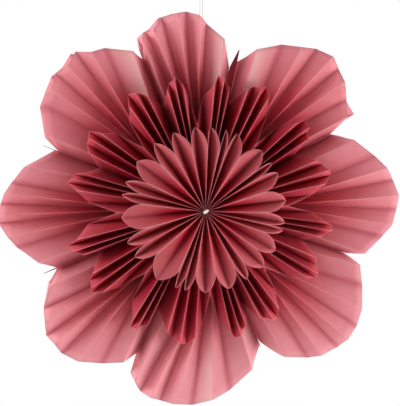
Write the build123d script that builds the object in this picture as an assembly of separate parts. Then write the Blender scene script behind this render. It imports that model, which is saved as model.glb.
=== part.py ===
from build123d import *
import os
from math import cos, radians, sin, sqrt

os.makedirs("parts", exist_ok=True)

# A hanging paper star: a pleated rosette in the middle, eight pleated sheets cut in two
# scallops behind it, and eight large pleated petals behind those. The back is the same
# again, mirrored. Millimetres, +Z up, the front faces -Y, and the origin is the inside
# top of the hanging loop.

# Sizes of the whole star
star_radius = 226.0
hub_drop = 256.0
hub_sideways = 4.5
pleat_width = 19.0
shallowest_pleat = 4.0

# Rosette: one strip pleated into a ring
rosette_bore = 2.6
rosette_notch_radius = 69.5
rosette_tip_radius = 92.0
rosette_hub_front = 76.0
rosette_rim_front = 71.0
scallop_round_share = 0.55
scallop_lean_share = 0.12

# Sheets cut in two scallops
fan_bore = 8.0
fan_radius = 153.0
fan_hub_front = 53.2
fan_rim_front = 46.0
fan_seam_front = 20.0

# Large petals
petal_bore = 8.5
petal_throat_radius = 100.0
petal_hub_front = 30.8
petal_throat_front = 21.0
petal_rim_front = 30.0
petal_seam_front = 10.0

# Paper, measured along the hub axis because every pleat leans steeply at the hub
hub_paper = 3.0
rosette_hub_paper = 4.0
rosette_rim_paper = 0.7
fan_rim_paper = 0.9
petal_throat_paper = 0.9
petal_rim_paper = 0.45

# Seam leaves between neighbouring petals
leaf_paper = 0.4
leaf_bore = 9.0
leaf_depth = 31.0
leaf_shoulder_radius = 112.0
leaf_shoulder_round = 12.0
leaf_taper_length = 28.0
leaf_waist_depth = 9.5
leaf_blade_depth = 6.5
leaf_tip_depth = 0.6
seam_gap = 0.15

# Threads
hub_thread_diameter = 1.2
hub_knot_length = 6.4
hub_knot_width = 3.4
hub_knot_slant_angle = 35.0
hub_knot_gap = 0.3
hanging_thread_diameter = 0.8
hanging_knot_diameter = 4.4
hanging_knot_gap = 0.1
strand_gap_at_knot = 1.2
loop_width = 3.4
loop_turn_share = 0.45

# Places round the hub, in degrees counter-clockwise from the right, seen from the front
seam_angles = (-18.0, 28.5, 74.5, 110.5, 158.3, 203.2, 247.3, 294.0, 342.0)
notch_angles = (1.5, 50.3, 93.5, 133.6, 181.8, 228.0, 275.0, 316.5)
rosette_ridge_angles = (
    -2, 17, 31.5, 38, 57, 70.5, 76.5, 87.5, 102, 118, 133.5, 154, 164.5,
    173, 196, 208, 221, 246.5, 254, 261.5, 279.5, 298, 307, 323.5, 340, 347.5,
)
rosette_valley_angles = (
    6.5, 26, 34, 45.5, 66, 74, 85, 96, 111.5, 126.5, 144, 160, 169,
    184.5, 203, 214, 235, 250.5, 257, 271, 288, 302, 316.5, 330, 345, 350.5,
)
# The six outer ridges of each two-scallop sheet, three to each scallop
fan_ridge_angles = (
    (-13.5, -10.0, -6.5, 11, 16.5, 22.5),
    (33, 37, 42, 59, 63.5, 69),
    (77.5, 80.5, 84.5, 99, 102.5, 106.5),
    (116, 120, 125.5, 143, 147.5, 153.5),
    (163, 166.5, 171, 193, 197.5, 200.5),
    (210, 215, 219.5, 237.5, 241, 244.5),
    (254, 260.5, 267, 283, 287, 290.5),
    (298, 302.5, 307.5, 326.5, 330.5, 336.5),
)
fan_tip_shares = (
    (0.98, 0.985), (0.995, 1.005), (0.975, 0.975), (0.985, 0.99),
    (0.99, 1.0), (1.0, 1.01), (1.005, 0.99), (0.985, 0.99),
)
# Radius of the fan's cut edge at each crease, from the notch out to the seam
fan_cut_shares = (0.62, 0.83, 0.935, 1.0, 0.985, 0.96, 0.925, 0.80)
# The nine inner creases of each petal at its rim, and the cut edge at each crease
petal_crease_angles = (
    (-16, -9.5, -5.5, -1, 3, 7.5, 11.5, 16, 23.5),
    (31.5, 36, 41, 44.5, 48.5, 53.5, 57.5, 63.5, 70.5),
    (82, 88, 90.5, 94, 97, 101.5, 105, 107.2, 109.3),
    (113.5, 121, 125, 128.5, 133, 137, 141.5, 146.5, 154.5),
    (166, 172, 175, 178.5, 181.5, 184, 188, 191.5, 198),
    (207, 212.5, 215.5, 219.5, 222.5, 226, 231, 237.5, 243),
    (249, 252, 255, 258.5, 262, 267.5, 273.5, 279, 287.5),
    (299, 305.5, 309, 314.5, 318, 322.5, 327.5, 334, 340),
)
petal_cut_shares = (
    (0.855, 0.925, 0.965, 0.99, 0.995, 0.98, 0.955, 0.91, 0.835),
    (0.86, 0.905, 0.95, 0.975, 0.995, 0.975, 0.94, 0.90, 0.83),
    (0.84, 0.91, 0.95, 0.97, 0.965, 0.955, 0.91, 0.905, 0.885),
    (0.845, 0.92, 0.94, 0.985, 0.96, 0.97, 0.945, 0.925, 0.83),
    (0.885, 0.94, 0.965, 0.985, 0.995, 0.99, 0.96, 0.925, 0.845),
    (0.84, 0.92, 0.95, 0.99, 0.985, 0.995, 0.97, 0.91, 0.855),
    (0.92, 0.965, 0.975, 0.985, 0.985, 0.985, 0.96, 0.925, 0.85),
    (0.855, 0.93, 0.96, 0.99, 0.995, 0.99, 0.96, 0.905, 0.85),
)
# The second petal's rear sheet is cut wider beside its first seam
rear_cut_shares = {1: (0.93, 0.925, 0.95, 0.975, 0.99, 0.97, 0.94, 0.90, 0.83)}
# Where each petal's ends meet its seams at the rim
petal_end_angles = (
    (-18.0, 28.5), (28.5, 74.5), (77.7, 110.5), (110.5, 158.3),
    (158.3, 203.2), (203.2, 247.3), (247.3, 294.0), (294.0, 342.0),
)
petal_seam_shares = (
    (0.78, 0.75), (0.755, 0.745), (0.71, 0.785), (0.78, 0.75),
    (0.765, 0.76), (0.76, 0.785), (0.78, 0.76), (0.745, 0.77),
)
# How far the rims of the rear petals are turned round the hub
rear_turn_angles = (0, -2.5, 0, 1.2, 1.5, 0.8, 0, 0)
# How far the nine inner creases have opened towards the seams at the throat
throat_shares = (-0.75, -0.27, -0.14, -0.065, 0.0, 0.065, 0.14, 0.27, 0.75)
# Each leaf's tip: how far out and in which direction, and how far its rear cut is turned
leaf_tip_shares = (0.78, 0.765, 0.805, 0.86, 0.83, 0.84, 0.79, 0.785)
leaf_tip_angles = (-18.0, 28.5, 75.0, 110.5, 158.3, 203.2, 247.3, 294.0)
leaf_turn_angles = (0, 0, 80, 0, 0, 0, 0, 0)

petal_count = len(notch_angles)
hub = Vector(-hub_sideways, 0, -hub_drop)


def place(radius, angle, depth):
    """A point of the star from its radius and angle round the hub and its depth."""
    turn = radians(angle)
    return hub + Vector(radius * cos(turn), -depth, radius * sin(turn))


def seam_place(radius, angle, depth, side):
    """A point beside a seam leaf, on the side that faces its own petal."""
    turn = radians(angle)
    aside = (leaf_paper / 2 + seam_gap) * side
    return place(radius, angle, depth) + Vector(-sin(turn), 0, cos(turn)) * aside


def crease_row(spots, front, side, seam_front=None):
    """Creases at one distance out: ridges at the front depth, and valleys sunk by
    what a panel of the pleat width needs. The ends of an open row lie at its seams."""
    ring = seam_front is None
    last = len(spots) - 1
    row = []
    for index, (radius, angle) in enumerate(spots):
        if not ring and index in (0, last):
            row.append(seam_place(radius, angle, side * seam_front, 1 if index == 0 else -1))
            continue
        if index % 2 == 1:
            row.append(place(radius, angle, side * front))
            continue
        before = spots[index - 1][1]
        after = spots[(index + 1) % len(spots)][1]
        spread = radius * radians((after - before) % 360) / 2
        drop = max(sqrt(max(pleat_width ** 2 - spread ** 2, 0)), shallowest_pleat)
        row.append(place(radius, angle, side * (front - drop)))
    return row


def straight_edges(row, ring):
    """A straight edge for each panel from crease to crease."""
    following = row[1:] + row[:1] if ring else row[1:]
    return [Edge.make_line(start, end) for start, end in zip(row, following)]


def half_round_edges(row, inner_row):
    """The rosette's cut: each panel is rounded from its ridge out to its valley."""
    edges = []
    for index, start in enumerate(row):
        later = (index + 1) % len(row)
        end = row[later]
        ridge, valley = (index, later) if index % 2 else (later, index)
        outward = (row[ridge] - inner_row[ridge]).normalized()
        square = row[ridge] + outward * (rosette_tip_radius - rosette_notch_radius)
        corner = square + (row[valley] - square) * scallop_lean_share
        controls = [point + (corner - point) * scallop_round_share for point in (start, end)]
        edges.append(Edge.make_bezier(start, *controls, end))
    return edges


def folded_sheet(rows, papers, ring=False):
    """A pleated sheet: ruled panels between rows of creases, on both faces."""
    skins = []
    for row, paper in zip(rows, papers):
        cut_round = ring and row is rows[-1]
        edges = half_round_edges(row, rows[0]) if cut_round else straight_edges(row, ring)
        lifts = [Location((0, paper / 2 * face, 0)) for face in (-1, 1)]
        skins.append([[edge.moved(lift) for edge in edges] for lift in lifts])
    faces = []
    for inner, outer in zip(skins, skins[1:]):
        for near, far in zip(inner, outer):
            faces += [Face.make_surface_from_curves(a, b) for a, b in zip(near, far)]
    for edge_pair in (skins[0], skins[-1]):
        faces += [Face.make_surface_from_curves(a, b) for a, b in zip(*edge_pair)]
    if not ring:
        for end in (0, -1):
            for inner, outer, paper_in, paper_out in zip(rows, rows[1:], papers, papers[1:]):
                corners = (
                    inner[end] - Vector(0, paper_in / 2, 0),
                    outer[end] - Vector(0, paper_out / 2, 0),
                    outer[end] + Vector(0, paper_out / 2, 0),
                    inner[end] + Vector(0, paper_in / 2, 0),
                )
                faces.append(Face(Wire.make_polygon(corners, close=True)))
    return closed(faces)


def closed(faces):
    """The solid inside these faces, with its outside out."""
    sheet = Solid(Shell(faces))
    return sheet if sheet.volume > 0 else Solid(Shell([-face for face in faces]))


def rosette(side):
    """One strip pleated into a ring; each petal is two panels about a valley."""
    hub_spots = []
    rim_spots = []
    step = 180 / len(rosette_ridge_angles)
    later_ridges = rosette_ridge_angles[1:] + rosette_ridge_angles[:1]
    for index, (valley, ridge) in enumerate(zip(rosette_valley_angles, later_ridges)):
        hub_spots += [(rosette_bore, (2 * index + 1) * step), (rosette_bore, (2 * index + 2) * step)]
        rim_spots += [(rosette_tip_radius, valley), (rosette_notch_radius, ridge)]
    rows = (
        crease_row(hub_spots, rosette_hub_front, side),
        crease_row(rim_spots, rosette_rim_front, side),
    )
    papers = (rosette_hub_paper, rosette_rim_paper)
    return folded_sheet(rows, papers, ring=True)


def fan_pair(index, side):
    """A sheet cut in two scallops that meet in a notch, pleated from seam to seam."""
    first, second = seam_angles[index], seam_angles[index + 1]
    low, high = fan_ridge_angles[index][:3], fan_ridge_angles[index][3:]
    ridges = low + (notch_angles[index],) + high
    angles = [first]
    for here, following in zip(ridges, ridges[1:] + (second,)):
        angles += [here, (here + following) / 2]
    angles[-1] = second
    cuts = fan_cut_shares[:0:-1] + fan_cut_shares
    last = len(angles) - 1
    hub_spots = []
    rim_spots = []
    for crease, (angle, cut) in enumerate(zip(angles, cuts)):
        tip = 1 if crease == last / 2 else fan_tip_shares[index][crease > last / 2]
        hub_spots.append((fan_bore, first + (second - first) * crease / last))
        rim_spots.append((fan_radius * cut * tip, angle))
    rows = (
        crease_row(hub_spots, fan_hub_front, side, fan_hub_front - pleat_width),
        crease_row(rim_spots, fan_rim_front, side, fan_seam_front),
    )
    return folded_sheet(rows, (hub_paper, fan_rim_paper))


def petal(index, side):
    """A large petal: pleats that lie closed up to the throat and open to the rim."""
    first, second = seam_angles[index], seam_angles[index + 1]
    first_end, second_end = petal_end_angles[index]
    first_cut, second_cut = petal_seam_shares[index]
    notch = notch_angles[index]
    turn = rear_turn_angles[index] if side < 0 else 0
    cuts = petal_cut_shares[index]
    if side < 0:
        cuts = rear_cut_shares.get(index, cuts)
    last = len(cuts) + 1
    hub_spots = [(petal_bore, first)]
    throat_spots = [(petal_throat_radius, first)]
    rim_spots = [(star_radius * first_cut, first_end)]
    creases = zip(petal_crease_angles[index], cuts, throat_shares)
    for crease, (angle, cut, opening) in enumerate(creases, 1):
        half = (notch - first) if opening < 0 else (second - notch)
        hub_spots.append((petal_bore, first + (second - first) * crease / last))
        throat_spots.append((petal_throat_radius, notch + opening * half))
        rim_spots.append((star_radius * cut, angle + turn))
    hub_spots.append((petal_bore, second))
    throat_spots.append((petal_throat_radius, second))
    rim_spots.append((star_radius * second_cut, second_end))
    rows = (
        crease_row(hub_spots, petal_hub_front, side, petal_hub_front - pleat_width),
        crease_row(throat_spots, petal_throat_front, side, petal_seam_front),
        crease_row(rim_spots, petal_rim_front, side, petal_seam_front),
    )
    return folded_sheet(rows, (hub_paper, petal_throat_paper, petal_rim_paper))


def leaf_outline(index, half, face):
    """The straight cuts along one side of a leaf, on one face of its paper."""
    seam = seam_angles[index]
    waist = leaf_shoulder_radius + leaf_taper_length
    tip = star_radius * leaf_tip_shares[index]
    aside = Vector(-sin(radians(seam)), 0, cos(radians(seam)))
    points = []
    for radius, depth in (
        (leaf_bore, leaf_depth),
        (leaf_shoulder_radius - leaf_shoulder_round, leaf_depth),
        (leaf_shoulder_radius, leaf_depth - leaf_shoulder_round),
        (waist, leaf_waist_depth),
        ((waist + tip) / 2, leaf_blade_depth),
        (tip, leaf_tip_depth),
    ):
        share = max(radius - leaf_shoulder_radius, 0) / (tip - leaf_shoulder_radius)
        turn = radians(leaf_turn_angles[index]) * share if half < 0 else 0
        angle = seam + (leaf_tip_angles[index] - seam) * share
        spot = place(radius, angle, half * depth * cos(turn))
        points.append(spot + aside * (depth * sin(turn) + face * leaf_paper / 2))
    return straight_edges(points, False)


def seam_leaf(index):
    """A pointed leaf in the plane of a seam; its two faces carry the sheets' ends."""
    outlines = [[leaf_outline(index, half, face) for half in (1, -1)] for face in (-1, 1)]
    faces = []
    for fronts, rears in outlines:
        faces += [Face.make_surface_from_curves(a, b) for a, b in zip(fronts, rears)]
    for edges, others in zip(*outlines):
        faces += [Face.make_surface_from_curves(a, b) for a, b in zip(edges, others)]
    for part, end in ((0, 0), (-1, 1)):
        corners = [outlines[face][half][part] @ end for face, half in ((0, 0), (1, 0), (1, 1), (0, 1))]
        faces.append(Face(Wire.make_polygon(corners, close=True)))
    return closed(faces)


def knot(length, width, slant):
    """A tight knot: an egg-shaped lump, longest across the thread."""
    with BuildSketch() as half:
        with BuildLine():
            EllipticalCenterArc((0, 0), length / 2, width / 2, start_angle=0, arc_size=180)
            Line((length / 2, 0), (-length / 2, 0))
        make_face()
    return revolve(half.sketch, Axis.X).rotate(Axis.Y, -slant)


def hub_tie():
    """The thread that runs through the hub, with a knot before each rosette."""
    knot_depth = rosette_hub_front + rosette_hub_paper / 2 + hub_knot_gap + hub_knot_width / 2
    tie = Cylinder(hub_thread_diameter / 2, 2 * knot_depth).rotate(Axis.X, 90)
    for depth in (knot_depth, -knot_depth):
        tie += knot(hub_knot_length, hub_knot_width, hub_knot_slant_angle).moved(Location((0, -depth, 0)))
    return tie.moved(Location(hub))


def hanging_knot():
    """The knot that ties the hanging thread to the hub thread at the middle."""
    bore = Cylinder(hub_thread_diameter / 2 + hanging_knot_gap, hanging_knot_diameter * 2)
    lump = Sphere(hanging_knot_diameter / 2) - bore.rotate(Axis.X, 90)
    return lump.moved(Location(hub))


def hanging_thread():
    """The doubled thread, pulled straight from the knot and round over the hook."""
    knot_top = hanging_knot_diameter / 2
    top = hanging_thread_diameter / 2
    route = [
        hub + Vector(-strand_gap_at_knot / 2, 0, knot_top),
        Vector(-loop_width / 2, 0, top),
        Vector(loop_width / 2, 0, top),
        hub + Vector(strand_gap_at_knot / 2, 0, knot_top),
    ]
    turns = [loop_turn_share * loop_width] * 2
    print("thread turns", turns)
    path = FilletPolyline(*route, radius=turns)
    section = Plane(origin=route[0], z_dir=route[1] - route[0]) * Circle(hanging_thread_diameter / 2)
    tube = sweep(section, path=path)
    print("thread length", path.length, "tube length", tube.volume / section.area)
    return tube


export_step(rosette(1), "parts/front_rosette.step")
export_step(rosette(-1), "parts/rear_rosette.step")
for index in range(petal_count):
    number = index + 1
    export_step(fan_pair(index, 1), f"parts/front_fan_pair_{number}.step")
    export_step(fan_pair(index, -1), f"parts/rear_fan_pair_{number}.step")
    export_step(petal(index, 1), f"parts/front_petal_{number}.step")
    export_step(petal(index, -1), f"parts/rear_petal_{number}.step")
    export_step(seam_leaf(index), f"parts/seam_leaf_{number}.step")
export_step(hub_tie(), "parts/hub_tie.step")
export_step(hanging_knot(), "parts/hanging_knot.step")
export_step(hanging_thread(), "parts/hanging_thread.step")
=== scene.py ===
from math import cos, pi, radians, sin, sqrt

import bmesh
import bpy
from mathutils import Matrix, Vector, noise


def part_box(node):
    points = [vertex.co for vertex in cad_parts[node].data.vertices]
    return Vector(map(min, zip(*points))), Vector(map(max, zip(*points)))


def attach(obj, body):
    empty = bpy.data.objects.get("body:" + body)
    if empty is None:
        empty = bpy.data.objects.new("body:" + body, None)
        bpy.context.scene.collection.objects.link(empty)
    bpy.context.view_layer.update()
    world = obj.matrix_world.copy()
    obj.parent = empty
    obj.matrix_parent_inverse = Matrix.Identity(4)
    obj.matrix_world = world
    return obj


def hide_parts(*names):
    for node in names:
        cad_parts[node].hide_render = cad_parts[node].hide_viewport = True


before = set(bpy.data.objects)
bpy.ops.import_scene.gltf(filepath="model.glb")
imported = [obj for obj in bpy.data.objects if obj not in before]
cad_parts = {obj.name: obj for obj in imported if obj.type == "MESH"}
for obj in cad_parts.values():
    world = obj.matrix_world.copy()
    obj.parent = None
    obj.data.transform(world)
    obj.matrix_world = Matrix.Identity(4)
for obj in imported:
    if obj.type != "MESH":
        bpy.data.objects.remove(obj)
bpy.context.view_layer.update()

# The photograph's view. The star hangs before plain white, seen through a long lens from
# a little to the left of its front and a little above it.
mm = 0.001
hub_low, hub_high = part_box("hub_tie")
hub = (hub_low + hub_high) / 2
photo_width, photo_height = 400, 406
hub_column, hub_row = 198, 206
pixel = 1.13 * mm
camera_distance = 2400 * mm
camera_turn = -6.5
camera_lift = 4.5
farthest_seen = 20000 * mm


def direction_of(turn, lift):
    """The direction from the star to a place turned so many degrees to the right of its
    front and lifted so many above it."""
    turn, lift = radians(turn), radians(lift)
    return Vector((sin(turn) * cos(lift), -cos(turn) * cos(lift), sin(lift)))


def stand_off(item, middle, direction, distance):
    """Sets a camera or a lamp at a distance from a point, turned to face it."""
    bpy.context.scene.collection.objects.link(item)
    item.location = middle + direction * distance
    item.rotation_mode = "QUATERNION"
    item.rotation_quaternion = (-direction).to_track_quat("-Z", "Y")


back = direction_of(camera_turn, camera_lift)
view_right = Vector((cos(radians(camera_turn)), sin(radians(camera_turn)), 0))
view_up = back.cross(view_right)
centre_of_view = (
    hub
    + view_right * (photo_width / 2 - hub_column) * pixel
    + view_up * (hub_row - photo_height / 2) * pixel
)
camera = bpy.data.objects.new("camera", bpy.data.cameras.new("camera"))
camera.data.lens = camera.data.sensor_width * camera_distance / (photo_height * pixel)
camera.data.clip_end = farthest_seen
stand_off(camera, centre_of_view, back, camera_distance)
bpy.context.scene.camera = camera
bpy.context.scene.view_settings.view_transform = "Standard"


# Hanging thread. A doubled strand of cream cotton is tied round the thread at the hub,
# runs up between the front and the rear petals and turns over a hook above the view.
class Shade:
    """One output of a material's nodes. Sums on it add Math nodes to that material."""

    def __init__(self, tree, output=None):
        self.tree = tree
        self.output = output

    def node(self, kind, settings, sockets, output=0):
        """A new node: its settings are set first, then its sockets get values or links."""
        new = self.tree.nodes.new(kind)
        for name, value in settings.items():
            setattr(new, name, value)
        for name, value in sockets.items():
            if isinstance(value, Shade):
                self.tree.links.new(value.output, new.inputs[name])
            else:
                new.inputs[name].default_value = value
        return Shade(self.tree, new.outputs[output] if new.outputs else None)

    def maths(self, operation, *terms):
        return self.node("ShaderNodeMath", {"operation": operation}, dict(enumerate(terms)))

    def __add__(self, other):
        return self.maths("ADD", self, other)

    def __radd__(self, other):
        return self.maths("ADD", other, self)

    def __sub__(self, other):
        return self.maths("SUBTRACT", self, other)

    def __rsub__(self, other):
        return self.maths("SUBTRACT", other, self)

    def __mul__(self, other):
        return self.maths("MULTIPLY", self, other)

    def __rmul__(self, other):
        return self.maths("MULTIPLY", other, self)

    def within(self, near, far):
        """1 where this is at near, fading to 0 at far."""
        settings = {"interpolation_type": "SMOOTHSTEP"}
        spans = {"From Min": near, "From Max": far, "To Min": 1.0, "To Max": 0.0}
        return self.node("ShaderNodeMapRange", settings, {"Value": self, **spans})

    def mix(self, first, second):
        """The first colour where this is 0, the second where it is 1. The Mix node has
        sockets of one name for each kind of value, and those for colours come last."""
        factor, colour_a, colour_b, mixed_colour = 0, 6, 7, 2
        colours = {factor: self, colour_a: first, colour_b: second}
        return self.node("ShaderNodeMix", {"data_type": "RGBA"}, colours, mixed_colour)


def new_material(name):
    """An empty material, and the Shade that its nodes are added through."""
    material = bpy.data.materials.new(name)
    material.use_nodes = True
    material.node_tree.nodes.clear()
    return material, Shade(material.node_tree)


def cotton(name, half_turn_length):
    """Cream cotton thread: matt, with the slanting twist of its plies as a bump. A wave of
    scale 0.31 over the half turn repeats once in a whole turn along the thread."""
    cream = (0.88, 0.84, 0.76, 1)
    shaded_cream = (0.66, 0.60, 0.50, 1)
    wave_scale = 0.31 / half_turn_length
    fuzz_scale = 2.0 / half_turn_length
    ply_depth = 0.15 * mm
    material, thread = new_material(name)
    spot = thread.node("ShaderNodeTexCoord", {}, {}, "Object")
    plies = thread.node(
        "ShaderNodeTexWave",
        {"wave_type": "BANDS", "bands_direction": "DIAGONAL"},
        {"Vector": spot, "Scale": wave_scale, "Distortion": 0.6, "Detail": 1.0},
        "Fac",
    )
    fuzz = thread.node(
        "ShaderNodeTexNoise", {}, {"Vector": spot, "Scale": fuzz_scale, "Detail": 3.0}
    )
    height = plies + 0.35 * fuzz
    bump = thread.node(
        "ShaderNodeBump", {}, {"Height": height, "Strength": 0.6, "Distance": ply_depth}
    )
    surface = thread.node(
        "ShaderNodeBsdfPrincipled",
        {},
        {
            "Base Color": plies.mix(shaded_cream, cream),
            "Roughness": 0.78 + 0.14 * fuzz,
            "Normal": bump,
            "Sheen Weight": 0.25,
        },
    )
    thread.node("ShaderNodeOutputMaterial", {}, {"Surface": surface})
    return material


thread_diameter = 0.8 * mm
strand_gap_at_knot = 1.2 * mm
loop_width = 3.4 * mm
straight_below_hook = 6 * thread_diameter
loop_top = thread_diameter / 2
knot_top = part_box("hanging_knot")[1].z
thread_half_turn = 1.6 * mm
thread_cotton = cotton("thread_cotton", thread_half_turn)

thread_route = []
for half in (-1, 1):
    foot = Vector((hub.x + half * strand_gap_at_knot / 2, 0, knot_top))
    corner = Vector((half * loop_width / 2, 0, loop_top))
    below = corner + (foot - corner).normalized() * straight_below_hook
    thread_route += [foot, below, corner] if half < 0 else [corner, below, foot]

strand = bpy.data.curves.new("hanging_thread_strand", "CURVE")
strand.dimensions = "3D"
strand.bevel_depth = thread_diameter / 2
strand.bevel_resolution = 3
strand.resolution_u = 16
strand.use_fill_caps = True
spline = strand.splines.new("NURBS")
spline.points.add(len(thread_route) - 1)
for point, spot in zip(spline.points, thread_route):
    point.co = (*spot, 1)
spline.order_u = 3
spline.use_endpoint_u = True
strand.materials.append(thread_cotton)
hanging_thread = bpy.data.objects.new("hanging_thread_strand", strand)
bpy.context.scene.collection.objects.link(hanging_thread)
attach(hanging_thread, "root")
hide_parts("hanging_thread")
hanging_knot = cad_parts["hanging_knot"]

# Hub tie. A thicker cotton thread runs through the middle of every sheet and ends in a
# tight slanting knot before the front rosette and behind the rear one.
hub_thread_half_turn = 2.4 * mm
hub_cotton = cotton("hub_cotton", hub_thread_half_turn)
for piece in (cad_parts["hub_tie"], hanging_knot):
    piece.data.materials.clear()
    piece.data.materials.append(hub_cotton)

# Rosettes. One strip of thick rose paper is pleated like an accordion, its outer edge is
# cut in half rounds two pleats wide, and its ends are glued into a ring round the hub.
pleat_width = 19 * mm
shallowest_pleat = 4 * mm
rosette_paper_thickness = 0.42 * mm
rosette_bore = 2.6 * mm
rosette_notch_radius = 69.5 * mm
rosette_tip_radius = 92 * mm
rosette_hub_front = 76 * mm
rosette_rim_front = 71 * mm
scallop_round_share = 0.55
scallop_lean_share = 0.12
scallop_point_share = 0.22
rosette_bulge = 1.2 * mm
panel_noise_step = 7.3
rosette_steps_out = 14
even_tone = 0.5
steps_across = 8
mottling_scale = 70.0
fibre_scale = 1500.0
streak_scale = 320.0
grain_depth = 0.2 * mm
faces = ((1, "front"), (-1, "rear"))
rosette_ridge_angles = (
    -2, 17, 31.5, 38, 57, 70.5, 76.5, 87.5, 102, 118, 133.5, 154, 164.5,
    173, 196, 208, 221, 246.5, 254, 261.5, 279.5, 298, 307, 323.5, 340, 347.5,
)
rosette_valley_angles = (
    6.5, 26, 34, 45.5, 66, 74, 85, 96, 111.5, 126.5, 144, 160, 169,
    184.5, 203, 214, 235, 250.5, 257, 271, 288, 302, 316.5, 330, 345, 350.5,
)
rosette_crease_step = 360 / (2 * len(rosette_ridge_angles))


def place(radius, angle, forward):
    """A point of the star from its radius, its angle round the hub and how far it stands
    in front of the hub, or behind it when that is negative."""
    turn = radians(angle)
    return hub + Vector((radius * cos(turn), -forward, radius * sin(turn)))


def valley_drop(radius, spread_angle):
    """How far a valley lies behind the ridges beside it, for panels of the pleat's width."""
    spread = radius * radians(spread_angle) / 2
    return max(sqrt(max(pleat_width ** 2 - spread ** 2, 0)), shallowest_pleat)


def rose_paper(
    name,
    lit_rim_rose,
    shaded_throat_rose,
    painted_shade_rose,
    ridge_wear_highlight_rose,
    painted_edge_rose,
    lit_rose,
    rim_light_length,
    let_through,
):
    """Matt uncoated paper with faint fibres and mottling. Its colour is painted paler towards
    the cut edge as painted light and darker towards the throat as painted shade. Ridges are
    painted pale, partly as wear and partly as a painted highlight, valleys are painted dark
    as painted shade, and cuts get a painted edge colour. A few panels carry a painted
    highlight towards their ridge, panels glued to a seam leaf are painted darker as shade,
    and some light comes through the sheet, but little where it is glued to a seam leaf."""
    painted_highlight_rose = (0.98, 0.74, 0.70, 1)
    ridge_wear_highlight_width, ridge_wear_highlight_end = 0.3 * mm, 1.5 * mm
    valley_shade_width, valley_shade_end = 0.2 * mm, 6.0 * mm
    painted_edge_width, painted_edge_end = 0.1 * mm, 0.8 * mm
    highlight_length, highlight_end = 60 * mm, 100 * mm
    glue_and_shade_start, glue_and_shade_end = 0.0, 0.9
    streak_stretch = (1.0, 0.03, 1.0)
    material, paper = new_material(name)
    flat = paper.node("ShaderNodeUVMap", {"uv_map": "paper"}, {})
    ridge, cut_gap, tone_and_light, highlight_and_glue = (
        paper.node("ShaderNodeAttribute", {"attribute_name": layer}, {}, "Fac")
        for layer in ("ridge", "cut_gap", "tone_and_light", "highlight_and_glue")
    )
    mottle = paper.node(
        "ShaderNodeTexNoise", {}, {"Vector": flat, "Scale": mottling_scale, "Detail": 5.0}
    )
    fibres = paper.node(
        "ShaderNodeTexNoise",
        {},
        {"Vector": flat, "Scale": fibre_scale, "Detail": 4.0, "Roughness": 0.7},
    )
    along_folds = paper.node("ShaderNodeMapping", {}, {"Vector": flat, "Scale": streak_stretch})
    streaks = paper.node(
        "ShaderNodeTexNoise", {}, {"Vector": along_folds, "Scale": streak_scale, "Detail": 3.0}
    )

    from_ridge, from_valley = (1 - ridge) * pleat_width, ridge * pleat_width
    # Ridges are painted pale, partly as wear and partly as a painted highlight on the rounded
    # folds.
    ridge_wear_and_highlight = from_ridge.within(ridge_wear_highlight_width, ridge_wear_highlight_end) * (0.35 + 0.45 * mottle)
    # Painted shade: the paper beside each valley is painted darker over a few millimetres.
    valley_shade = from_valley.within(valley_shade_width, valley_shade_end) * 0.55
    # The sheet tone is random on the fans and is painted light on the petals.
    unevenness_and_sheet_light = 0.3 * (mottle - 0.5) + 0.35 * (streaks - 0.5) + 0.5 * (tone_and_light - even_tone)
    # Painted light and shade: paler towards the cut edge, darker towards the throat, plus
    # unevenness.
    rim_light_and_unevenness = 0.85 * cut_gap.within(0.0, rim_light_length) + unevenness_and_sheet_light
    # Cut edges are painted: a pale painted highlight on the rosettes and fans, a dark line on
    # the petals.
    painted_cut_edge = cut_gap.within(painted_edge_width, painted_edge_end) * 0.6
    glue_and_seam_shade = (highlight_and_glue + 1).within(glue_and_shade_start, glue_and_shade_end)
    colour = rim_light_and_unevenness.mix(shaded_throat_rose, lit_rim_rose)
    colour = valley_shade.mix(colour, painted_shade_rose)
    # Painted shade on the panels glued to a seam leaf, which also let less light through.
    colour = (0.6 * glue_and_seam_shade).mix(colour, painted_shade_rose)
    # A painted highlight on a few chosen panels, towards their ridge and near the cut.
    colour = (highlight_and_glue * cut_gap.within(highlight_length, highlight_end)).mix(colour, painted_highlight_rose)
    colour = ridge_wear_and_highlight.mix(colour, ridge_wear_highlight_rose)
    colour = painted_cut_edge.mix(colour, painted_edge_rose)

    height = fibres + 1.5 * mottle + 3.0 * streaks
    bump = paper.node(
        "ShaderNodeBump", {}, {"Height": height, "Strength": 0.35, "Distance": grain_depth}
    )
    front = paper.node(
        "ShaderNodeBsdfPrincipled",
        {},
        {
            "Base Color": colour,
            "Roughness": 0.58 + 0.14 * mottle,
            "Specular IOR Level": 0.15,
            "Normal": bump,
        },
    )
    through = paper.node("ShaderNodeBsdfTranslucent", {}, {"Color": lit_rose, "Normal": bump})
    share_through = let_through * (1 - 0.75 * glue_and_seam_shade)
    surface = paper.node("ShaderNodeMixShader", {}, {0: share_through, 1: front, 2: through})
    paper.node("ShaderNodeOutputMaterial", {}, {"Surface": surface})
    return material


class Column:
    """A line of a sheet from the hub to its cut edge: the points it runs through, 1 on a
    ridge down to 0 in a valley, how far it bulges, its place across the sheet in panels,
    and its share of a painted highlight, down to -1 where it is glued."""

    def __init__(self, points, ridge, bulge, across, highlight_and_glue=0):
        self.points = points
        self.ridge = ridge
        self.bulge = bulge
        self.across = across
        self.highlight_and_glue = highlight_and_glue


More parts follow.
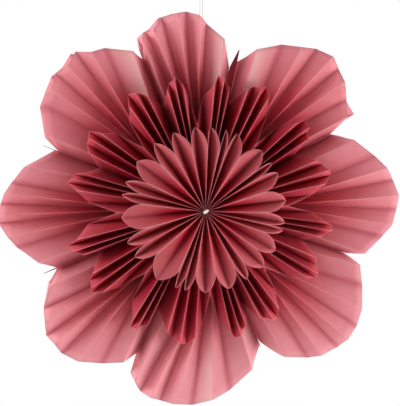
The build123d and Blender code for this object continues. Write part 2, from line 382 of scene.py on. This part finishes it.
def folded_sheet(name, columns, steps_out, tone_and_light, thickness, ring=False):
    """A flat sheet, gridded, with every point carried along its column to its place in the
    folds, where it bulges and ripples slightly. A ring has its first and last line joined."""
    ripples_per_metre = 30
    ripple_height = 0.35 * mm
    last = len(columns) - 1
    bm = bmesh.new()
    bmesh.ops.create_grid(bm, x_segments=last, y_segments=steps_out, size=0.5)
    ridge_layer = bm.verts.layers.float.new("ridge")
    gap_layer = bm.verts.layers.float.new("cut_gap")
    tone_and_light_layer = bm.verts.layers.float.new("tone_and_light")
    highlight_and_glue_layer = bm.verts.layers.float.new("highlight_and_glue")
    flat_layer = bm.loops.layers.uv.new("paper")
    flat = {}
    for vertex in bm.verts:
        flat[vertex] = round((vertex.co.x + 0.5) * last), vertex.co.y + 0.5
    for face in bm.faces:
        face.smooth = True
        for loop in face.loops:
            number, out = flat[loop.vert]
            points = columns[number].points
            length = (points[-1] - points[0]).length
            loop[flat_layer].uv = (columns[number].across * pleat_width, out * length)
    for vertex, (number, out) in flat.items():
        column = columns[number]
        points = column.points
        spans = [(end - start).length for start, end in zip(points, points[1:])]
        travel = out * sum(spans)
        for start, end, span in zip(points, points[1:], spans):
            if travel <= span or end is points[-1]:
                spot = start.lerp(end, travel / span)
                break
            travel -= span
        before = columns[max(number - 1, 0)].points[-1]
        after = columns[min(number + 1, last)].points[-1]
        normal = (after - before).cross(points[-1] - points[0]).normalized()
        ripple = noise.noise(spot * ripples_per_metre + Vector((0, 0, column.across)))
        vertex.co = spot + normal * (column.bulge + ripple * ripple_height) * out
        vertex[ridge_layer] = column.ridge
        vertex[gap_layer] = (1 - out) * sum(spans)
        vertex[tone_and_light_layer] = tone_and_light
        vertex[highlight_and_glue_layer] = column.highlight_and_glue
    if ring:
        bmesh.ops.remove_doubles(bm, verts=bm.verts, dist=0.001 * mm)
    mesh = bpy.data.meshes.new(name)
    bm.to_mesh(mesh)
    bm.free()
    piece = bpy.data.objects.new(name, mesh)
    bpy.context.scene.collection.objects.link(piece)
    solid = piece.modifiers.new("paper_thickness", "SOLIDIFY")
    solid.thickness = thickness
    solid.offset = 0
    return piece


def rosette_creases(side):
    """Valleys and ridges in turn: the foot at the bore, the end at the cut, and 1 for a
    ridge or 0 for a valley. The half rounds have their tips at the valleys."""
    creases = []
    hub_drop = valley_drop(rosette_bore, 2 * rosette_crease_step)
    later_ridges = rosette_ridge_angles[1:] + rosette_ridge_angles[:1]
    angles = zip(rosette_ridge_angles, rosette_valley_angles, later_ridges)
    for index, (ridge_before, valley, ridge) in enumerate(angles):
        tip_drop = valley_drop(rosette_tip_radius, (ridge - ridge_before) % 360)
        hub_angle = (2 * index + 1) * rosette_crease_step
        foot = place(rosette_bore, hub_angle, side * (rosette_hub_front - hub_drop))
        tip = place(rosette_tip_radius, valley, side * (rosette_rim_front - tip_drop))
        creases.append((foot, tip, 0))
        hub_angle = (2 * index + 2) * rosette_crease_step
        foot = place(rosette_bore, hub_angle, side * rosette_hub_front)
        notch = place(rosette_notch_radius, ridge, side * rosette_rim_front)
        creases.append((foot, notch, 1))
    return creases


def scallop_point(notch, square, valley_tip, out):
    """A place on the curve of the cut, from the notch at the ridge to the tip at the valley.
    The curve is drawn towards a corner a little inside the square end of the panel."""
    corner = square.lerp(valley_tip, scallop_lean_share).lerp(notch, scallop_point_share)
    round_start = notch.lerp(corner, scallop_round_share)
    round_end = valley_tip.lerp(corner, scallop_round_share)
    first = notch.lerp(round_start, out)
    second = round_start.lerp(round_end, out)
    third = round_end.lerp(valley_tip, out)
    return first.lerp(second, out).lerp(second.lerp(third, out), out)


rosette_paper = rose_paper(
    "rosette_paper",
    lit_rim_rose=(0.66, 0.165, 0.185, 1),
    shaded_throat_rose=(0.52, 0.014, 0.038, 1),
    painted_shade_rose=(0.29, 0.006, 0.018, 1),
    ridge_wear_highlight_rose=(0.86, 0.36, 0.38, 1),
    painted_edge_rose=(0.86, 0.36, 0.38, 1),
    lit_rose=(0.86, 0.03, 0.07, 1),
    rim_light_length=60 * mm,
    let_through=0.24,
)
for side, word in faces:
    creases = rosette_creases(side)
    columns = []
    for index, (foot, rim, ridge) in enumerate(creases):
        foot_after, rim_after = creases[(index + 1) % len(creases)][:2]
        bulge = noise.noise(Vector((index * panel_noise_step, side, 0))) * rosette_bulge
        ridge_foot, notch = (foot, rim) if ridge else (foot_after, rim_after)
        valley_foot, valley_tip = (foot_after, rim_after) if ridge else (foot, rim)
        outward = (notch - ridge_foot).normalized()
        square = notch + outward * (rosette_tip_radius - rosette_notch_radius)
        across = valley_tip - square
        for step in range(steps_across):
            share = step / steps_across
            edge = scallop_point(notch, square, valley_tip, share if ridge else 1 - share)
            height = 1 - (edge - notch).dot(across) / across.length_squared
            points = (valley_foot.lerp(ridge_foot, height), edge)
            lift = bulge * sin(pi * share)
            columns.append(Column(points, height, lift, index + share))
    seam = columns[0]
    columns.append(Column(seam.points, seam.ridge, seam.bulge, len(creases)))
    rosette = folded_sheet(
        f"{word}_rosette_sheet",
        columns,
        rosette_steps_out,
        even_tone,
        rosette_paper_thickness,
        ring=True,
    )
    rosette.data.materials.append(rosette_paper)
    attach(rosette, "root")
    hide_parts(f"{word}_rosette")

# Fan sheets. Behind each rosette eight sheets are pleated from seam to seam, and each is
# cut in two scallops that meet in a deep notch at its middle ridge.
fan_bore = 8 * mm
fan_radius = 153 * mm
fan_hub_front = 53.2 * mm
fan_rim_front = 46 * mm
fan_seam_front = 20 * mm
paper_thickness = 0.28 * mm
fan_bulge = 1.2 * mm
fan_steps_out = 14
leaf_paper = 0.4 * mm
seam_gap = 0.15 * mm
seam_angles = (-18.0, 28.5, 74.5, 110.5, 158.3, 203.2, 247.3, 294.0, 342.0)
notch_angles = (1.5, 50.3, 93.5, 133.6, 181.8, 228.0, 275.0, 316.5)
fan_ridge_angles = (
    (-13.5, -10.0, -6.5, 11, 16.5, 22.5),
    (33, 37, 42, 59, 63.5, 69),
    (77.5, 80.5, 84.5, 99, 102.5, 106.5),
    (116, 120, 125.5, 143, 147.5, 153.5),
    (163, 166.5, 171, 193, 197.5, 200.5),
    (210, 215, 219.5, 237.5, 241, 244.5),
    (254, 260.5, 267, 283, 287, 290.5),
    (298, 302.5, 307.5, 326.5, 330.5, 336.5),
)
fan_tip_shares = (
    (0.98, 0.985), (0.995, 1.005), (0.975, 0.975), (0.985, 0.99),
    (0.99, 1.0), (1.0, 1.01), (1.005, 0.99), (0.985, 0.99),
)
fan_cut_shares = (0.62, 0.83, 0.935, 1.0, 0.985, 0.96, 0.925, 0.80)


def crease_row(spots, front, side, seam_front):
    """Creases at one distance out, from their radii and angles: ridges at the front depth,
    valleys sunk behind them, and the ends of the sheet beside the leaves of its seams."""
    last = len(spots) - 1
    beside_leaf = leaf_paper / 2 + seam_gap
    row = []
    for index, (radius, angle) in enumerate(spots):
        if index in (0, last):
            turn = radians(angle)
            along = Vector((-sin(turn), 0, cos(turn))) * (1 if index == 0 else -1)
            row.append(place(radius, angle, side * seam_front) + along * beside_leaf)
        elif index % 2:
            row.append(place(radius, angle, side * front))
        else:
            drop = valley_drop(radius, spots[index + 1][1] - spots[index - 1][1])
            row.append(place(radius, angle, side * (front - drop)))
    return row


def sheet_columns(rows, bulge_size, seed, highlight_panel=None):
    """Columns across every panel of a sheet, crowded towards the creases. The first and the
    last panel are glued at their outer ends."""
    crowding = 0.8
    highlight_falloff = 1.5
    panel_step, sheet_step = 5.7, 3.1
    columns = []
    panels = len(rows[0]) - 1
    for index in range(panels):
        noise_place = Vector((index * panel_step, seed * sheet_step, 0.5))
        bulge = noise.noise(noise_place) * bulge_size
        ridge, ridge_after = index % 2, (index + 1) % 2
        for step in range(steps_across):
            share = step / steps_across
            share -= crowding * sin(2 * pi * share) / (2 * pi)
            points = [row[index].lerp(row[index + 1], share) for row in rows]
            height = ridge + (ridge_after - ridge) * share
            # A chosen panel carries a painted highlight, strongest at its ridge.
            highlight_and_glue = height ** highlight_falloff if index == highlight_panel else 0
            # The end panels run to -1 at the glued seam: less light through there, and painted
            # shade.
            if index in (0, panels - 1):
                highlight_and_glue = height - 1
            lift = bulge * sin(pi * share)
            columns.append(Column(points, height, lift, index + share, highlight_and_glue))
    columns.append(Column([row[-1] for row in rows], 0, 0, panels, -1))
    return columns


fan_paper = rose_paper(
    "fan_paper",
    lit_rim_rose=(0.62, 0.085, 0.115, 1),
    shaded_throat_rose=(0.45, 0.012, 0.034, 1),
    painted_shade_rose=(0.27, 0.006, 0.018, 1),
    ridge_wear_highlight_rose=(0.86, 0.36, 0.38, 1),
    painted_edge_rose=(0.86, 0.36, 0.38, 1),
    lit_rose=(0.86, 0.03, 0.07, 1),
    rim_light_length=42 * mm,
    let_through=0.24,
)
tone_seed = 8
noise.seed_set(tone_seed)
for side, word in faces:
    for index, ridge_angles in enumerate(fan_ridge_angles):
        first, second = seam_angles[index], seam_angles[index + 1]
        ridges = ridge_angles[:3] + (notch_angles[index],) + ridge_angles[3:]
        angles = [first]
        for ridge, next_ridge in zip(ridges, ridges[1:]):
            angles += [ridge, (ridge + next_ridge) / 2]
        angles += [ridges[-1], second]
        last = len(angles) - 1
        half = len(fan_cut_shares) - 1
        first_tip, second_tip = fan_tip_shares[index]
        cuts = fan_cut_shares[:0:-1] + fan_cut_shares
        tips = (first_tip,) * half + (1,) + (second_tip,) * half
        hub_spots = []
        rim_spots = []
        for crease, (angle, cut, tip) in enumerate(zip(angles, cuts, tips)):
            hub_spots.append((fan_bore, first + (second - first) * crease / last))
            rim_spots.append((fan_radius * cut * tip, angle))
        rows = (
            crease_row(hub_spots, fan_hub_front, side, fan_hub_front - pleat_width),
            crease_row(rim_spots, fan_rim_front, side, fan_seam_front),
        )
        columns = sheet_columns(rows, fan_bulge, index + 10 * side)
        tone_and_light = noise.random()
        fan_pair = folded_sheet(
            f"{word}_fan_sheet_{index + 1}", columns, fan_steps_out, tone_and_light, paper_thickness
        )
        fan_pair.data.materials.append(fan_paper)
        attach(fan_pair, "root")
        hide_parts(f"{word}_fan_pair_{index + 1}")

# Large petals. Eight broad sheets on each face are pleated from seam to seam. Their folds
# lie closed as far as the throat, behind the fan sheets, and open to a rim that is cut
# straight from fold to fold.
star_radius = 226 * mm
petal_bore = 8.5 * mm
petal_throat_radius = 100 * mm
petal_hub_front = 30.8 * mm
petal_throat_front = 21 * mm
petal_rim_front = 30 * mm
petal_seam_front = 10 * mm
petal_bulge = 1.6 * mm
petal_steps_out = 24
petal_crease_angles = (
    (-16, -9.5, -5.5, -1, 3, 7.5, 11.5, 16, 23.5),
    (31.5, 36, 41, 44.5, 48.5, 53.5, 57.5, 63.5, 70.5),
    (82, 88, 90.5, 94, 97, 101.5, 105, 107.2, 109.3),
    (113.5, 121, 125, 128.5, 133, 137, 141.5, 146.5, 154.5),
    (166, 172, 175, 178.5, 181.5, 184, 188, 191.5, 198),
    (207, 212.5, 215.5, 219.5, 222.5, 226, 231, 237.5, 243),
    (249, 252, 255, 258.5, 262, 267.5, 273.5, 279, 287.5),
    (299, 305.5, 309, 314.5, 318, 322.5, 327.5, 334, 340),
)
petal_cut_shares = (
    (0.855, 0.925, 0.965, 0.99, 0.995, 0.98, 0.955, 0.91, 0.835),
    (0.86, 0.905, 0.95, 0.975, 0.995, 0.975, 0.94, 0.90, 0.83),
    (0.84, 0.91, 0.95, 0.97, 0.965, 0.955, 0.91, 0.905, 0.885),
    (0.845, 0.92, 0.94, 0.985, 0.96, 0.97, 0.945, 0.925, 0.83),
    (0.885, 0.94, 0.965, 0.985, 0.995, 0.99, 0.96, 0.925, 0.845),
    (0.84, 0.92, 0.95, 0.99, 0.985, 0.995, 0.97, 0.91, 0.855),
    (0.92, 0.965, 0.975, 0.985, 0.985, 0.985, 0.96, 0.925, 0.85),
    (0.855, 0.93, 0.96, 0.99, 0.995, 0.99, 0.96, 0.905, 0.85),
)
rear_cut_shares = {1: (0.93, 0.925, 0.95, 0.975, 0.99, 0.97, 0.94, 0.90, 0.83)}
petal_end_angles = (
    (-18.0, 28.5), (28.5, 74.5), (77.7, 110.5), (110.5, 158.3),
    (158.3, 203.2), (203.2, 247.3), (247.3, 294.0), (294.0, 342.0),
)
petal_seam_shares = (
    (0.78, 0.75), (0.755, 0.745), (0.71, 0.785), (0.78, 0.75),
    (0.765, 0.76), (0.76, 0.785), (0.78, 0.76), (0.745, 0.77),
)
rear_turn_angles = (0, -2.5, 0, 1.2, 1.5, 0.8, 0, 0)
# Painted light on the petals: lightest at the bottom, darkest at the upper right and upper left.
petal_painted_light_tones = (0.45, 0.1, 0.5, 0.2, 0.35, 0.65, 1.3, 0.65)
# The panel of some petals that carries a painted highlight.
petal_highlight_panels = {1: 8, 2: 1, 3: 1, 6: 6}
throat_shares = (-0.75, -0.27, -0.14, -0.065, 0.0, 0.065, 0.14, 0.27, 0.75)

petal_paper = rose_paper(
    "petal_paper",
    lit_rim_rose=(0.86, 0.44, 0.47, 1),
    shaded_throat_rose=(0.63, 0.045, 0.075, 1),
    painted_shade_rose=(0.50, 0.05, 0.08, 1),
    ridge_wear_highlight_rose=(0.90, 0.52, 0.54, 1),
    # The petals' cut edges are painted with a dark line.
    painted_edge_rose=(0.50, 0.17, 0.21, 1),
    lit_rose=(0.95, 0.58, 0.63, 1),
    rim_light_length=110 * mm,
    let_through=0.47,
)
for side, word in faces:
    for index, crease_angles in enumerate(petal_crease_angles):
        first, second = seam_angles[index], seam_angles[index + 1]
        notch = notch_angles[index]
        turn = 0
        cut_shares = petal_cut_shares[index]
        if word == "rear":
            turn = rear_turn_angles[index]
            cut_shares = rear_cut_shares.get(index, cut_shares)
        first_end, second_end = petal_end_angles[index]
        first_cut, second_cut = petal_seam_shares[index]
        last = len(crease_angles) + 1
        hub_spots = [(petal_bore, first)]
        throat_spots = [(petal_throat_radius, first)]
        rim_spots = [(star_radius * first_cut, first_end)]
        creases = zip(crease_angles, cut_shares, throat_shares)
        for crease, (angle, cut, opening) in enumerate(creases, 1):
            half = (notch - first) if opening < 0 else (second - notch)
            hub_spots.append((petal_bore, first + (second - first) * crease / last))
            throat_spots.append((petal_throat_radius, notch + opening * half))
            rim_spots.append((star_radius * cut, angle + turn))
        hub_spots.append((petal_bore, second))
        throat_spots.append((petal_throat_radius, second))
        rim_spots.append((star_radius * second_cut, second_end))
        rows = (
            crease_row(hub_spots, petal_hub_front, side, petal_hub_front - pleat_width),
            crease_row(throat_spots, petal_throat_front, side, petal_seam_front),
            crease_row(rim_spots, petal_rim_front, side, petal_seam_front),
        )
        highlight_panel = petal_highlight_panels.get(index)
        columns = sheet_columns(rows, petal_bulge, index + 20 * side, highlight_panel)
        tone_and_light = petal_painted_light_tones[index]
        petal = folded_sheet(
            f"{word}_petal_sheet_{index + 1}", columns, petal_steps_out, tone_and_light, paper_thickness
        )
        petal.data.materials.append(petal_paper)
        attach(petal, "root")
        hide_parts(f"{word}_petal_{index + 1}")

# Seam leaves. Between neighbouring petals a pointed leaf of paper stands in the plane of the
# seam, and the ends of the sheets are glued to its two faces. Its dark colour is painted
# shade. The rear half of the third is turned aside, and shows as a dark blade between two
# petals.
# Painted shade: the leaf paper is coloured dark.
leaf_shade_rose = (0.24, 0.02, 0.03, 1)
deep_leaf_shade_rose = (0.17, 0.012, 0.02, 1)
leaf_material, leaf = new_material("leaf_paper")
spot = leaf.node("ShaderNodeTexCoord", {}, {}, "Object")
mottle = leaf.node(
    "ShaderNodeTexNoise", {}, {"Vector": spot, "Scale": mottling_scale, "Detail": 5.0}
)
fibres = leaf.node(
    "ShaderNodeTexNoise", {}, {"Vector": spot, "Scale": fibre_scale, "Detail": 4.0}
)
height = fibres + 1.5 * mottle
bump = leaf.node(
    "ShaderNodeBump", {}, {"Height": height, "Strength": 0.35, "Distance": grain_depth}
)
surface = leaf.node(
    "ShaderNodeBsdfPrincipled",
    {},
    {
        "Base Color": mottle.mix(deep_leaf_shade_rose, leaf_shade_rose),
        "Roughness": 0.80 + 0.14 * mottle,
        "Specular IOR Level": 0.2,
        "Normal": bump,
    },
)
leaf.node("ShaderNodeOutputMaterial", {}, {"Surface": surface})
for index in range(len(seam_angles) - 1):
    seam_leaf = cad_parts[f"seam_leaf_{index + 1}"]
    seam_leaf.data.materials.clear()
    seam_leaf.data.materials.append(leaf_material)

# Studio. A pale floor well below the star, soft lamps to the left, to the right and low
# in front, and white light from behind, which also makes the plain white behind the star.
floor_radius = 1600 * mm
floor_depth = 1000 * mm
floor_grey = (0.86, 0.86, 0.86, 1)
white = (1, 1, 1, 1)
light_behind = 1.7
light_lost_before = 1.63
light_lost_above = 0.35
darkest_before, darkening_end = -0.85, 0.0
softbox_distance = 1900 * mm
softbox_size = 1000 * mm

floor_material, floor_shade = new_material("floor_pale")
surface = floor_shade.node(
    "ShaderNodeBsdfPrincipled", {}, {"Base Color": floor_grey, "Roughness": 0.9}
)
floor_shade.node("ShaderNodeOutputMaterial", {}, {"Surface": surface})
bm = bmesh.new()
bmesh.ops.create_circle(bm, cap_ends=True, segments=96, radius=floor_radius)
bmesh.ops.translate(bm, verts=bm.verts, vec=(0, 0, -floor_depth))
floor_mesh = bpy.data.meshes.new("floor")
bm.to_mesh(floor_mesh)
bm.free()
floor = bpy.data.objects.new("floor", floor_mesh)
floor.data.materials.append(floor_material)
bpy.context.scene.collection.objects.link(floor)

world = bpy.data.worlds.new("studio")
bpy.context.scene.world = world
world.use_nodes = True
world.node_tree.nodes.clear()
air = Shade(world.node_tree)
camera_ray = air.node("ShaderNodeLightPath", {}, {}, "Is Camera Ray")
glossy_ray = air.node("ShaderNodeLightPath", {}, {}, "Is Glossy Ray")
transmission_ray = air.node("ShaderNodeLightPath", {}, {}, "Is Transmission Ray")
direction = air.node("ShaderNodeTexCoord", {}, {}, "Generated")
towards_back = air.node("ShaderNodeSeparateXYZ", {}, {"Vector": direction}, "Y")
before_star = towards_back.within(darkest_before, darkening_end)
upwards = air.node("ShaderNodeSeparateXYZ", {}, {"Vector": direction}, "Z")
light_level = (light_behind - before_star * light_lost_before) * (1 - light_lost_above * upwards)
mirrored = glossy_ray * (1 - before_star)
plain_white = air.maths("MAXIMUM", air.maths("MAXIMUM", camera_ray, mirrored), transmission_ray)
around = air.node("ShaderNodeBackground", {}, {"Color": white, "Strength": light_level})
plain = air.node("ShaderNodeBackground", {}, {"Color": white, "Strength": 1.0})
sky = air.node("ShaderNodeMixShader", {}, {0: plain_white, 1: around, 2: plain})
air.node("ShaderNodeOutputWorld", {}, {"Surface": sky})

for name, turn, lift, power in (
    ("softbox_left", -78, 20, 25),
    ("softbox_right", 70, -15, 31),
    ("softbox_low", 5, -60, 20),
):
    lamp = bpy.data.lights.new(name, "AREA")
    lamp.shape = "SQUARE"
    lamp.size = softbox_size
    lamp.energy = power
    softbox = bpy.data.objects.new(name, lamp)
    stand_off(softbox, hub, direction_of(turn, lift), softbox_distance)
